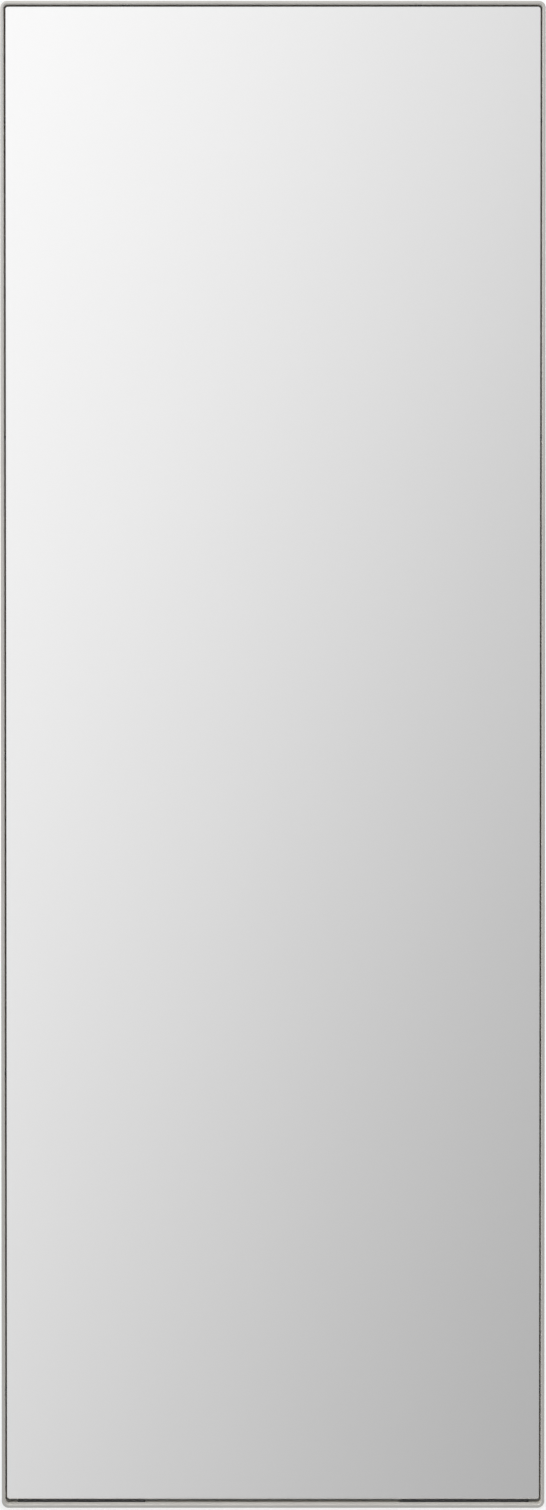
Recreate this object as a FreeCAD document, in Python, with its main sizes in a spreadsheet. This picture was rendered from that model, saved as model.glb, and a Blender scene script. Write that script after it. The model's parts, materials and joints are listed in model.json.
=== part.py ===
"""Full-length wall mirror in a slim frame bent from flat steel bar.

The bar stands on edge round a silvered glass pane that sits back from the rim. Behind the pane are
a safety film, strips of foam tape and a backing board, which angle tabs and screws hold in the
frame. Four swinging D-rings on the board hang the mirror upright or on its side.

Millimetres. The front faces -Y, +Z is up, and the origin is the middle of the wall plane that the
rear faces of the rubber bumpers lie in.
"""
import FreeCAD
import Part
import Sketcher
from enum import IntEnum
import math
import os
import re

DRIVING_SIZES = [
    ("frame_width", 558.8, "outside width of the frame"),
    ("frame_height", 1549.4, "outside height of the frame"),
    ("bar_thickness", 3.2, "flat bar of the frame, seen from the front"),
    ("bend_radius", 4.0, "inside radius of the bar's corner bends"),
    ("rim_round", 0.7, "rounding of the bar's two front edges"),
    ("recess_depth", 8.0, "front rim to glass"),
    ("glass_thickness", 4.0, "mirror pane"),
    ("glass_gap", 1.2, "open seam between the pane and the bar, at the sides and top"),
    ("glass_corner", 2.5, "rounded corners of the pane"),
    ("glass_arris", 0.2, "ground chamfer on the pane's front edge"),
    ("film_thickness", 0.3, "safety film on the silvered side"),
    ("film_inset", 2.0, "film edge to pane edge"),
    ("tape_thickness", 1.0, "foam tape between film and board"),
    ("tape_width", 25.0, "one strip of tape"),
    ("tape_count", 4, "upright strips of tape"),
    ("tape_end_gap", 40.0, "strip end to pane edge"),
    ("tape_side_gap", 30.0, "outermost strip to pane edge"),
    ("board_thickness", 9.0, "backing board"),
    ("board_gap", 0.5, "board edge to bar"),
    ("cavity_depth", 7.7, "back of the board to the bar's rear edge"),
    ("spacer_count", 5, "edge spacers on each long side"),
    ("spacer_end_gap", 117.5, "end bar to the first side spacer"),
    ("spacer_length", 5.0, "edge spacer along the seam"),
    ("spacer_setback", 0.3, "spacer front to glass front"),
    ("top_spacer_gap", 126.2, "side bar to the middle of a top spacer"),
    ("block_length", 132.0, "setting block under the pane"),
    ("block_height", 1.8, "setting block, which sets the seam under the pane"),
    ("block_gap", 78.2, "side bar to the middle of a setting block"),
    ("tab_sheet", 1.5, "sheet of the angle tabs"),
    ("tab_length", 20.0, "tab along the bar"),
    ("tab_reach", 16.0, "tab over the board"),
    ("tab_rear_gap", 1.7, "tab edge to the bar's rear edge"),
    ("tab_bend", 1.0, "inside radius of the tab's bend"),
    ("tab_corner", 2.5, "rounded free corners of the tab"),
    ("tab_hole_offset", 9.5, "bar to the tab's screw"),
    ("side_tab_count", 4, "tabs on each long side"),
    ("side_tab_gap", 171.5, "end bar to the first side tab"),
    ("end_tab_gap", 126.2, "side bar to the top and bottom tabs"),
    ("screw_radius", 1.6, "shank of the board screws"),
    ("screw_length", 8.0, "screw under its head"),
    ("screw_tip", 2.0, "pointed end of the shank"),
    ("screw_head_radius", 3.5, "pan head"),
    ("screw_head_height", 2.0, "pan head"),
    ("screw_head_round", 1.2, "rounded edge of the head"),
    ("cross_length", 4.0, "cross recess, tip to tip"),
    ("cross_width", 1.0, "cross recess, one arm"),
    ("cross_depth", 1.1, "cross recess"),
    ("hole_clearance", 0.4, "screw hole in sheet, round the shank"),
    ("pilot_clearance", 0.05, "pilot hole in the board, round the shank"),
    ("strap_sheet", 1.5, "sheet of the hanger strap"),
    ("strap_width", 13.0, "hanger strap"),
    ("strap_length", 38.0, "eye to the strap's end"),
    ("strap_corner", 4.0, "rounded end corners of the strap"),
    ("near_screw", 8.5, "eye to the first strap screw"),
    ("far_screw", 30.0, "eye to the second strap screw"),
    ("eye_clearance", 0.08, "ring wire in the rolled eye"),
    ("eye_lift", 0.25, "eye above the strap's face"),
    ("roll_gap", 0.4, "tail of the rolled eye to the strap"),
    ("wire_radius", 1.5, "wire of the D-ring"),
    ("bow_radius", 11.5, "round bow of the D-ring, to the wire's centre"),
    ("ring_leg", 6.0, "straight legs of the D-ring"),
    ("ring_bend", 3.0, "corner bends of the D-ring, to the wire's centre"),
    ("upright_side_gap", 75.0, "bar to the upright hangers"),
    ("upright_top_gap", 290.0, "top bar to the upright hangers' eyes"),
    ("sideways_gap", 55.0, "bar to the sideways hangers' eyes"),
    ("sideways_end_gap", 391.5, "end bar to the sideways hangers"),
    ("bumper_radius", 8.5, "rubber bumper on the board"),
    ("bumper_taper", 1.0, "bumper narrower at the wall by this much"),
    ("bumper_web", 1.5, "rubber under the bumper's screw"),
    ("bumper_bore_gap", 0.6, "bumper bore round the screw head"),
    ("bumper_round", 0.8, "rounded rear edge of the bumper"),
    ("bumper_proud", 1.5, "bumper behind the bar's rear edge"),
    ("bumper_edge_gap", 32.0, "bar to the bumper's centre"),
]

doc = FreeCAD.newDocument("wall_mirror")
sizes = doc.addObject("Spreadsheet::Sheet", "sizes")
for row, (alias, value, note) in enumerate(DRIVING_SIZES, start=1):
    sizes.set(f"A{row}", note)
    sizes.set(f"B{row}", str(value))
    sizes.setAlias(f"B{row}", alias)
doc.recompute()

# Levels from the wall plane forward, and the inside of the frame, as formulas on the sheet.
BAR_BACK = "(0 - bumper_proud)"
BOARD_BACK = f"({BAR_BACK} - cavity_depth)"
BOARD_FRONT = f"({BOARD_BACK} - board_thickness)"
FILM_BACK = f"({BOARD_FRONT} - tape_thickness)"
GLASS_BACK = f"({FILM_BACK} - film_thickness)"
GLASS_FRONT = f"({GLASS_BACK} - glass_thickness)"
BAR_DEPTH = f"({BAR_BACK} - {GLASS_FRONT} + recess_depth)"
INSIDE_X = "(frame_width / 2 - bar_thickness)"
INSIDE_Z = "(frame_height / 2 - bar_thickness)"
PANE_X = f"({INSIDE_X} - glass_gap)"
PANE_TOP = f"({INSIDE_Z} - glass_gap)"
PANE_Z = f"({INSIDE_Z} - (glass_gap + block_height) / 2)"
PANE_MIDDLE = "((block_height - glass_gap) / 2)"
SHEET_HOLE = "(screw_radius + hole_clearance)"
EYE_RADIUS = "(wire_radius + eye_clearance)"
EYE_HEIGHT = f"(strap_sheet + eye_lift + {EYE_RADIUS})"
EYE_OUTSIDE = f"({EYE_RADIUS} + strap_sheet)"

X_AXIS = FreeCAD.Vector(1, 0, 0)
Y_AXIS = FreeCAD.Vector(0, 1, 0)
Z_AXIS = FreeCAD.Vector(0, 0, 1)
UNTURNED = FreeCAD.Rotation()
FACING_BACK = FreeCAD.Rotation(X_AXIS, -90)
FACING_FRONT = FreeCAD.Rotation(X_AXIS, 90)
ALONG_X = FreeCAD.Rotation(Y_AXIS, 90)

ALIAS = re.compile("|".join(rf"\b{alias}\b" for alias, value, note in DRIVING_SIZES))
SAME_EDGE = 1e-6
nodes = []


class Spot(IntEnum):
    """Points of a line or arc in a sketch."""

    START = 1
    END = 2
    CENTRE = 3


class Guide(IntEnum):
    """A sketch's own axes, of which the level one starts at the origin."""

    LEVEL = -1
    UPRIGHT = -2


ORIGIN_POINT = (Guide.LEVEL, Spot.START)


def number(formula):
    """The present value of a formula on the sheet."""
    return FreeCAD.Units.Quantity(ALIAS.sub(lambda found: str(sizes.get(found.group())), formula)).Value


def same(first, second):
    """Whether two lengths agree."""
    return abs(first - second) < SAME_EDGE


def bind(thing, **formulas):
    """Ties properties of a thing to formulas on the sheet."""
    for path, formula in formulas.items():
        thing.setExpression(path.replace("__", "."), ALIAS.sub(r"sizes.\g<0>", formula))
    return thing


def place(thing, x="0", y="0", z="0", turn=UNTURNED):
    """Puts a thing at a place given by formulas."""
    thing.Placement = FreeCAD.Placement(FreeCAD.Vector(number(x), number(y), number(z)), turn)
    return bind(thing, Placement__Base__x=x, Placement__Base__y=y, Placement__Base__z=z)


def keep(thing, name):
    """Names a finished piece and adds it to the parts list."""
    thing.Label = name
    nodes.append(thing)


def copy_of(master, name, x, y, z, turn=UNTURNED):
    """One more piece like the master, at its own place."""
    link = doc.addObject("App::Link", name)
    link.LinkedObject = master
    return place(link, x, y, z, turn)


def group_of(pieces, name):
    """Several separate solids as one entry of the parts list."""
    group = doc.addObject("Part::Compound", name)
    group.Links = pieces
    return group


def sketch_on(body, role, name):
    """An empty sketch on one of the body's own origin planes."""
    sketch = body.newObject("Sketcher::SketchObject", name)
    plane = next(item for item in body.Origin.OriginFeatures if item.Role == role)
    sketch.AttachmentSupport = [(plane, "")]
    sketch.MapMode = "FlatFace"
    return sketch


def relate(sketch, *words):
    """Adds a constraint without a size to a sketch."""
    sketch.addConstraint(Sketcher.Constraint(*words))


def measure(sketch, formula, *words):
    """Adds a dimension to a sketch and ties it to a formula."""
    index = sketch.addConstraint(Sketcher.Constraint(*words, number(formula)))
    bind(sketch, **{f"Constraints[{index}]": formula})


def rounded_rectangle(sketch, half_width, half_height, radius):
    """Draws a rectangle with rounded corners, centred on the sketch's origin."""
    width, height, bend = number(half_width), number(half_height), number(radius)
    flat_x, flat_y = width - bend, height - bend
    ends = [(-flat_x, -height), (flat_x, -height), (width, -flat_y), (width, flat_y),
            (flat_x, height), (-flat_x, height), (-width, flat_y), (-width, -flat_y)]
    points = [FreeCAD.Vector(x, y, 0) for x, y in ends]
    sides = [sketch.addGeometry(Part.LineSegment(points[i], points[i + 1])) for i in (0, 2, 4, 6)]
    arcs = []
    for quarter, (x, y) in enumerate([(1, -1), (1, 1), (-1, 1), (-1, -1)]):
        circle = Part.Circle(FreeCAD.Vector(x * flat_x, y * flat_y, 0), Z_AXIS, bend)
        sweep = math.radians(90 * (quarter - 1)), math.radians(90 * quarter)
        arcs.append(sketch.addGeometry(Part.ArcOfCircle(circle, *sweep)))
    for i in range(4):
        relate(sketch, "Tangent", sides[i], Spot.END, arcs[i], Spot.START)
        relate(sketch, "Tangent", arcs[i], Spot.END, sides[(i + 1) % 4], Spot.START)
        relate(sketch, "Vertical" if i % 2 else "Horizontal", sides[i])
    for arc in arcs[1:]:
        relate(sketch, "Equal", arcs[0], arc)
    relate(sketch, "Symmetric", arcs[0], Spot.CENTRE, arcs[2], Spot.CENTRE, *ORIGIN_POINT)
    measure(sketch, half_width, "DistanceX", *ORIGIN_POINT, sides[1], Spot.START)
    measure(sketch, half_height, "DistanceY", *ORIGIN_POINT, sides[2], Spot.START)
    measure(sketch, radius, "Radius", arcs[0])


def outline(sketch, corners):
    """Draws a closed outline of straight lines, each corner given by two formulas."""
    points = [FreeCAD.Vector(number(x), number(y), 0) for x, y in corners]
    lines = [sketch.addGeometry(Part.LineSegment(points[i - 1], points[i])) for i in range(len(points))]
    for i, line in enumerate(lines):
        relate(sketch, "Coincident", line, Spot.START, lines[i - 1], Spot.END)
        kinds = (("DistanceX", Guide.UPRIGHT), ("DistanceY", Guide.LEVEL))
        for formula, (kind, axis) in zip(corners[i], kinds):
            if formula == "0":
                relate(sketch, "PointOnObject", line, Spot.END, axis)
            else:
                measure(sketch, formula, kind, *ORIGIN_POINT, line, Spot.END)


def pad(body, sketch, name, length, side_type="One side"):
    """Raises a sketch by a length along its normal."""
    solid = body.newObject("PartDesign::Pad", name)
    solid.Profile = sketch
    solid.SideType = side_type
    bind(solid, Length=length)
    doc.recompute()
    return solid


def turned(body, sketch, name):
    """Turns a sketch once round its own upright axis."""
    solid = body.newObject("PartDesign::Revolution", name)
    solid.Profile = sketch
    solid.ReferenceAxis = (sketch, ["V_Axis"])
    doc.recompute()
    return solid


def dress(body, kind, name, base, test, **formulas):
    """Rounds or chamfers the edges of the base whose every end passes the test."""
    chosen = [index for index, edge in enumerate(base.Shape.Edges, start=1)
              if all(test(vertex.Point) for vertex in edge.Vertexes)]
    solid = body.newObject(kind, name)
    solid.Base = (base, [f"Edge{index}" for index in chosen])
    bind(solid, **formulas)
    doc.recompute()
    return solid


def panel(name, half_width, half_height, thickness, back, corner="bend_radius", middle="0"):
    """A flat sheet with rounded corners, its rear face and its middle at the levels given."""
    body = doc.addObject("PartDesign::Body", name)
    sketch = sketch_on(body, "XZ_Plane", f"{name}_outline")
    rounded_rectangle(sketch, half_width, half_height, corner)
    solid = pad(body, sketch, f"{name}_sheet", thickness)
    return place(body, y=back, z=middle), solid


# The frame: flat bar on edge, bent round four corners and welded to itself.
bar = doc.addObject("PartDesign::Body", "bar")
bar_plan = sketch_on(bar, "XZ_Plane", "bar_plan")
rounded_rectangle(bar_plan, "(frame_width / 2)", "(frame_height / 2)", "(bend_radius + bar_thickness)")
rounded_rectangle(bar_plan, INSIDE_X, INSIDE_Z, "bend_radius")
bar_ring = pad(bar, bar_plan, "bar_ring", BAR_DEPTH)
rim = -number(BAR_DEPTH)
dress(bar, "PartDesign::Fillet", "bar_rim", bar_ring, lambda point: same(point.y, rim), Radius="rim_round")
keep(place(bar, y=BAR_BACK), "frame_band")

# The silvered pane, with a ground edge at the front.
pane, pane_sheet = panel("pane", PANE_X, PANE_Z, "glass_thickness", GLASS_BACK, "glass_corner",
                         PANE_MIDDLE)
face = -number("glass_thickness")
dress(pane, "PartDesign::Chamfer", "pane_arris", pane_sheet, lambda point: same(point.y, face),
      Size="glass_arris")
keep(pane, "mirror_glass")

# The film that would hold the splinters of a broken pane.
film, film_sheet = panel("film", f"({PANE_X} - film_inset)", f"({PANE_Z} - film_inset)", "film_thickness",
                         FILM_BACK, middle=PANE_MIDDLE)
keep(film, "safety_film")

# Foam tape that bonds the film to the board in upright strips.
tape_count = int(number("tape_count"))
tape_spread = f"(2 * ({PANE_X} - tape_side_gap) - tape_width)"
for index in range(tape_count):
    strip = doc.addObject("Part::Box", f"strip_{index + 1}")
    bind(strip, Length="tape_width", Width="tape_thickness", Height=f"2 * ({PANE_Z} - tape_end_gap)")
    share = index / (tape_count - 1) - 0.5
    strip_foot = f"{PANE_MIDDLE} - {PANE_Z} + tape_end_gap"
    place(strip, f"{share} * {tape_spread} - tape_width / 2", FILM_BACK, strip_foot)
    keep(strip, f"foam_tape_{index + 1}")

# Spacers that keep the seam open: pads at the sides and top of the pane, longer blocks under it.
seam_front = f"({GLASS_FRONT} + spacer_setback)"
seam_depth = f"({BOARD_FRONT} - {seam_front})"
spacer_count = int(number("spacer_count"))
for side, edge in (("left", f"0 - {INSIDE_X}"), ("right", PANE_X)):
    pads = []
    for index in range(spacer_count):
        spacer = doc.addObject("Part::Box", f"{side}_spacer_{index + 1}")
        bind(spacer, Length="glass_gap", Width=seam_depth, Height="spacer_length")
        share = 1 - 2 * index / (spacer_count - 1)
        level = f"{share} * ({INSIDE_Z} - spacer_end_gap) - spacer_length / 2"
        pads.append(place(spacer, edge, seam_front, level))
    keep(group_of(pads, f"{side}_spacers"), f"edge_spacers_{side}")
for name, length, height, gap, level in (
        ("edge_spacers_top", "spacer_length", "glass_gap", "top_spacer_gap", PANE_TOP),
        ("setting_blocks", "block_length", "block_height", "block_gap", f"0 - {INSIDE_Z}")):
    pads = []
    for sign in (-1, 1):
        spacer = doc.addObject("Part::Box", f"{name}_pad")
        bind(spacer, Length=length, Width=seam_depth, Height=height)
        pads.append(place(spacer, f"{sign} * ({INSIDE_X} - {gap}) - {length} / 2", seam_front, level))
    keep(group_of(pads, f"{name}_group"), name)

# Pan-head screw, drawn from its point along +Y, with a cross recess in the head.
screw = doc.addObject("PartDesign::Body", "screw")
screw_profile = sketch_on(screw, "XY_Plane", "screw_profile")
head_top = "(screw_length + screw_head_height)"
outline(screw_profile, [("0", "0"), ("screw_radius", "screw_tip"), ("screw_radius", "screw_length"),
                        ("screw_head_radius", "screw_length"), ("screw_head_radius", head_top),
                        ("0", head_top)])
screw_solid = turned(screw, screw_profile, "screw_solid")
screw_end = number(head_top)
dress(screw, "PartDesign::Fillet", "screw_head_edge", screw_solid, lambda point: same(point.y, screw_end),
      Radius="screw_head_round")
for name, length, width in (("cross_arm", "cross_length", "cross_width"),
                            ("cross_bar", "cross_width", "cross_length")):
    arm = screw.newObject("PartDesign::SubtractiveBox", name)
    bind(arm, Length=length, Width="cross_depth", Height=width)
    place(arm, f"0 - {length} / 2", f"{head_top} - cross_depth", f"0 - {width} / 2")

# Angle tab: one leg lies on the bar at local x = 0, the other on the board at local y = 0.
tab = doc.addObject("PartDesign::Body", "tab")
tab_profile = sketch_on(tab, "XY_Plane", "tab_profile")
tab_leg = "(cavity_depth - tab_rear_gap)"
outline(tab_profile, [("0", "0"), ("tab_reach", "0"), ("tab_reach", "tab_sheet"),
                      ("tab_sheet", "tab_sheet"), ("tab_sheet", tab_leg), ("0", tab_leg)])
tab_solid = pad(tab, tab_profile, "tab_solid", "tab_length", "Symmetric")
sheet, reach, half_tab = number("tab_sheet"), number("tab_reach"), number("tab_length / 2")
tab_solid = dress(tab, "PartDesign::Fillet", "tab_inner_bend", tab_solid,
                  lambda point: same(point.x, sheet) and same(point.y, sheet), Radius="tab_bend")
tab_solid = dress(tab, "PartDesign::Fillet", "tab_outer_bend", tab_solid,
                  lambda point: same(point.x, 0) and same(point.y, 0), Radius="tab_bend + tab_sheet")
for end in (-half_tab, half_tab):
    tab_solid = dress(tab, "PartDesign::Fillet", "tab_free_corner", tab_solid,
                      lambda point: same(point.x, reach) and same(point.z, end), Radius="tab_corner")
tab_hole = tab.newObject("PartDesign::SubtractiveCylinder", "tab_hole")
bind(tab_hole, Radius=SHEET_HOLE, Height="tab_sheet")
place(tab_hole, "tab_hole_offset", turn=FACING_BACK)

# Hanger strap: sheet on the board at local y = 0, rolled into an eye round local x at z = 0.
strap = doc.addObject("PartDesign::Body", "strap")
strap_solid = strap.newObject("PartDesign::AdditiveBox", "strap_plate")
bind(strap_solid, Length="strap_width", Width="strap_sheet", Height="strap_length")
place(strap_solid, "0 - strap_width / 2", "0", "0 - strap_length")
doc.recompute()
strap_end, half_strap = -number("strap_length"), number("strap_width / 2")
for edge in (-half_strap, half_strap):
    strap_solid = dress(strap, "PartDesign::Fillet", "strap_corner", strap_solid,
                        lambda point: same(point.x, edge) and same(point.z, strap_end), Radius="strap_corner")
for kind, name, radius in (("PartDesign::AdditiveCylinder", "eye_roll", EYE_OUTSIDE),
                           ("PartDesign::SubtractiveCylinder", "eye_bore", EYE_RADIUS)):
    eye = strap.newObject(kind, name)
    bind(eye, Radius=radius, Height="strap_width")
    place(eye, "0 - strap_width / 2", EYE_HEIGHT, "0", ALONG_X)
eye_tail = strap.newObject("PartDesign::SubtractiveBox", "eye_tail_gap")
bind(eye_tail, Length="strap_width", Width="roll_gap", Height=EYE_OUTSIDE)
place(eye_tail, "0 - strap_width / 2", "strap_sheet", f"0 - {EYE_OUTSIDE}")
for offset in ("near_screw", "far_screw"):
    hole = strap.newObject("PartDesign::SubtractiveCylinder", f"{offset}_hole")
    bind(hole, Radius=SHEET_HOLE, Height="strap_sheet")
    place(hole, z=f"0 - {offset}", turn=FACING_BACK)

# D-ring of round wire, hanging from the eye: straight bar, two corners, two legs and the bow.
bar_reach = "(bow_radius - ring_bend)"
bow_level = "(ring_bend + ring_leg)"
ring_bar = doc.addObject("Part::Cylinder", "ring_bar")
bind(ring_bar, Radius="wire_radius", Height=f"2 * {bar_reach}")
place(ring_bar, f"0 - {bar_reach}", EYE_HEIGHT, "0", ALONG_X)
ring_pieces = [ring_bar]
for sign, first_angle in ((-1, 90), (1, 0)):
    corner = doc.addObject("Part::Torus", "ring_corner")
    corner.Angle3 = 90
    bind(corner, Radius1="ring_bend", Radius2="wire_radius")
    corner_turn = FACING_FRONT * FreeCAD.Rotation(Z_AXIS, first_angle)
    ring_pieces.append(place(corner, f"{sign} * {bar_reach}", EYE_HEIGHT, "0 - ring_bend", corner_turn))
    leg = doc.addObject("Part::Cylinder", "ring_leg")
    bind(leg, Radius="wire_radius", Height="ring_leg")
    ring_pieces.append(place(leg, f"{sign} * bow_radius", EYE_HEIGHT, f"0 - {bow_level}"))
bow = doc.addObject("Part::Torus", "ring_bow")
bow.Angle3 = 180
bind(bow, Radius1="bow_radius", Radius2="wire_radius")
ring_pieces.append(place(bow, "0", EYE_HEIGHT, f"0 - {bow_level}", FACING_BACK))
ring = doc.addObject("Part::MultiFuse", "ring")
ring.Shapes = ring_pieces
ring.Refine = True

# Rubber bumper: stands on the board at local y = 0 and reaches the wall, its screw sunk in a bore.
bumper = doc.addObject("PartDesign::Body", "bumper")
bumper_profile = sketch_on(bumper, "XY_Plane", "bumper_profile")
bumper_height = "(cavity_depth + bumper_proud)"
bumper_bore = "(screw_head_radius + bumper_bore_gap)"
bumper_tip = "(bumper_radius - bumper_taper)"
outline(bumper_profile, [(SHEET_HOLE, "0"), ("bumper_radius", "0"), (bumper_tip, bumper_height),
                         (bumper_bore, bumper_height), (bumper_bore, "bumper_web"),
                         (SHEET_HOLE, "bumper_web")])
bumper_solid = turned(bumper, bumper_profile, "bumper_solid")
tip_height, tip_radius = number(bumper_height), number(bumper_tip)
dress(bumper, "PartDesign::Fillet", "bumper_edge", bumper_solid,
      lambda point: same(point.y, tip_height) and same(math.hypot(point.x, point.z), tip_radius),
      Radius="bumper_round")

# Where the tabs, hangers and bumpers go, and the screws that hold each of them to the board.
tab_screws, hanger_screws, bumper_screws = [], [], []
side_tab_count = int(number("side_tab_count"))
tab_places = []
for index in range(side_tab_count):
    level = f"{1 - 2 * index / (side_tab_count - 1)} * ({INSIDE_Z} - side_tab_gap)"
    tab_places.append((f"tab_left_{index + 1}", f"0 - {INSIDE_X}", level, 0))
    tab_places.append((f"tab_right_{index + 1}", INSIDE_X, level, 180))
for side, sign in (("left", -1), ("right", 1)):
    x = f"{sign} * ({INSIDE_X} - end_tab_gap)"
    tab_places.append((f"tab_top_{side}", x, INSIDE_Z, 90))
    tab_places.append((f"tab_bottom_{side}", x, f"0 - {INSIDE_Z}", -90))
for name, x, z, angle in tab_places:
    keep(copy_of(tab, name, x, BOARD_BACK, z, FreeCAD.Rotation(Y_AXIS, angle)), name)
    inward_x, inward_z = round(math.cos(math.radians(angle))), -round(math.sin(math.radians(angle)))
    tab_screws.append((f"{x} + {inward_x} * tab_hole_offset", f"{z} + {inward_z} * tab_hole_offset"))

hanger_places = [
    ("upright_left", f"upright_side_gap - {INSIDE_X}", f"{INSIDE_Z} - upright_top_gap", UNTURNED),
    ("upright_right", f"{INSIDE_X} - upright_side_gap", f"{INSIDE_Z} - upright_top_gap", UNTURNED),
    ("sideways_upper", f"{INSIDE_X} - sideways_gap", f"{INSIDE_Z} - sideways_end_gap", ALONG_X),
    ("sideways_lower", f"{INSIDE_X} - sideways_gap", f"sideways_end_gap - {INSIDE_Z}", ALONG_X),
]
for name, x, z, turn in hanger_places:
    keep(copy_of(strap, f"strap_{name}", x, BOARD_BACK, z, turn), f"hanger_strap_{name}")
    keep(copy_of(ring, f"ring_{name}", x, BOARD_BACK, z, turn), f"d_ring_{name}")
    for offset in ("near_screw", "far_screw"):
        if turn is ALONG_X:
            hanger_screws.append((f"{x} - {offset}", z))
        else:
            hanger_screws.append((x, f"{z} - {offset}"))

for side, sign_x in (("left", -1), ("right", 1)):
    for end, sign_z in (("lower", -1), ("upper", 1)):
        x, z = f"{sign_x} * ({INSIDE_X} - bumper_edge_gap)", f"{sign_z} * ({INSIDE_Z} - bumper_edge_gap)"
        keep(copy_of(bumper, f"bumper_{end}_{side}", x, BOARD_BACK, z), f"wall_bumper_{end}_{side}")
        bumper_screws.append((x, z))

pilot_holes = []
for name, places, sheet_size in (("tab_screws", tab_screws, "tab_sheet"),
                                 ("hanger_screws", hanger_screws, "strap_sheet"),
                                 ("bumper_screws", bumper_screws, "bumper_web")):
    bite = f"(screw_length - {sheet_size})"
    screws = []
    for x, z in places:
        screws.append(copy_of(screw, f"{name}_one", x, f"{BOARD_BACK} - {bite}", z))
        hole = doc.addObject("Part::Cylinder", f"{name}_pilot")
        bind(hole, Radius="screw_radius + pilot_clearance", Height=f"{bite} + pilot_clearance")
        pilot_holes.append(place(hole, x, BOARD_BACK, z, FACING_FRONT))
    keep(group_of(screws, f"{name}_group"), name)

# The backing board, with a blind pilot hole for every screw.
blank, blank_sheet = panel("blank", f"({INSIDE_X} - board_gap)", f"({INSIDE_Z} - board_gap)",
                           "board_thickness", BOARD_BACK)
board = doc.addObject("Part::Cut", "board")
board.Base = blank
board.Tool = group_of(pilot_holes, "pilot_holes")
keep(board, "backing_board")

doc.recompute()
failed = [item.Label for item in doc.Objects if {"Invalid", "Error"} & set(item.State)]
if failed:
    raise RuntimeError(f"these did not build: {failed}")
shapes = {node.Label: Part.getShape(node) for node in nodes}
for name, shape in shapes.items():
    if shape.isNull() or not shape.isValid() or not shape.Solids:
        raise RuntimeError(f"{name} is not a valid solid")
os.makedirs("parts", exist_ok=True)
for name, shape in shapes.items():
    shape.exportStep(f"parts/{name}.step")
    print(f"{name}: {len(shape.Solids)} solids, {shape.Volume:.1f} mm3")
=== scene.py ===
"""Looks of a full-length wall mirror: a slim bent-bar frame, a silvered pane and a back with D-ring hangers.

Metres, in the part's own frame: the front faces -Y, +Z is up, and the wall plane is y = 0.
"""
import json
import math

import bmesh
import bpy
from mathutils import Matrix, Vector


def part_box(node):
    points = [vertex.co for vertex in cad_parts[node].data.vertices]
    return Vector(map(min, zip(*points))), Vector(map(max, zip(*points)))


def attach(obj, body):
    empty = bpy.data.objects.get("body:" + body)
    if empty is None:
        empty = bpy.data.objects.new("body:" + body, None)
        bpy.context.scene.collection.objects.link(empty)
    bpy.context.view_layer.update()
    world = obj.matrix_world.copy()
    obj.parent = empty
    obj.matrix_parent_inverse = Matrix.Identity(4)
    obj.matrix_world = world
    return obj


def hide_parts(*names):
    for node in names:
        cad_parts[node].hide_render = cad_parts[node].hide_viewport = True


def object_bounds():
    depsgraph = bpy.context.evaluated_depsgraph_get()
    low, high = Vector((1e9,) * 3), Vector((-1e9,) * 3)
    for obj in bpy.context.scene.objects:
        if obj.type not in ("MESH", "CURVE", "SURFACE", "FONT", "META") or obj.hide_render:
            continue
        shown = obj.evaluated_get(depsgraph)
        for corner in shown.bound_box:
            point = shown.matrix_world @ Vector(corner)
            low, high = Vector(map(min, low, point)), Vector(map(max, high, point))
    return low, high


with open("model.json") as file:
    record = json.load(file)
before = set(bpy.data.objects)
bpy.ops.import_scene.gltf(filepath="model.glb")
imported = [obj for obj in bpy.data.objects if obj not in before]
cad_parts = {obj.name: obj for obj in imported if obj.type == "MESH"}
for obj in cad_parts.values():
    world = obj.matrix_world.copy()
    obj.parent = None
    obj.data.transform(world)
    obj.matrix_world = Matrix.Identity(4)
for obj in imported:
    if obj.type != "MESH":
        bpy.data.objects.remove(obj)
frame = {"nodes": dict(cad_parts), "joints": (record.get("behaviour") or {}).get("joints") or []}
cad_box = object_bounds()


# Frame band: one length of flat steel bar on edge, bent round four corners and butt-welded to itself in the
# middle of the bottom run. It is nickel plated and brushed along its length, with its front edges rounded.
MM = 0.001
BAR_THICKNESS = 3.2 * MM
BAR_BEND = 4.0 * MM
RIM_ROUND = 0.7 * MM
REAR_ROUND = 0.25 * MM
WELD_GAP = 0.04 * MM
CORNER_STEPS = 24
RIM_STEPS = 6
BRUSH_LINE = (45 * MM, 0.28 * MM, 0.28 * MM)
BRUSH_SCUFF = (11 * MM, 1.4 * MM, 1.4 * MM)
BRUSH_CLOUD = (140 * MM, 33 * MM, 33 * MM)
BRUSH_DEPTH = 0.006 * MM
NICKEL_PALE = (0.62, 0.61, 0.585, 1)
NICKEL_DEEP = (0.52, 0.51, 0.487, 1)
NICKEL_WORN = (0.68, 0.67, 0.65, 1)
# Painted light: the inside face of the bar is painted far paler than the front, to light the shaded recess.
NICKEL_INSIDE_PAINTED_LIGHT = (0.88, 0.86, 0.82, 1)
band_low, band_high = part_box("frame_band")


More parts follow.
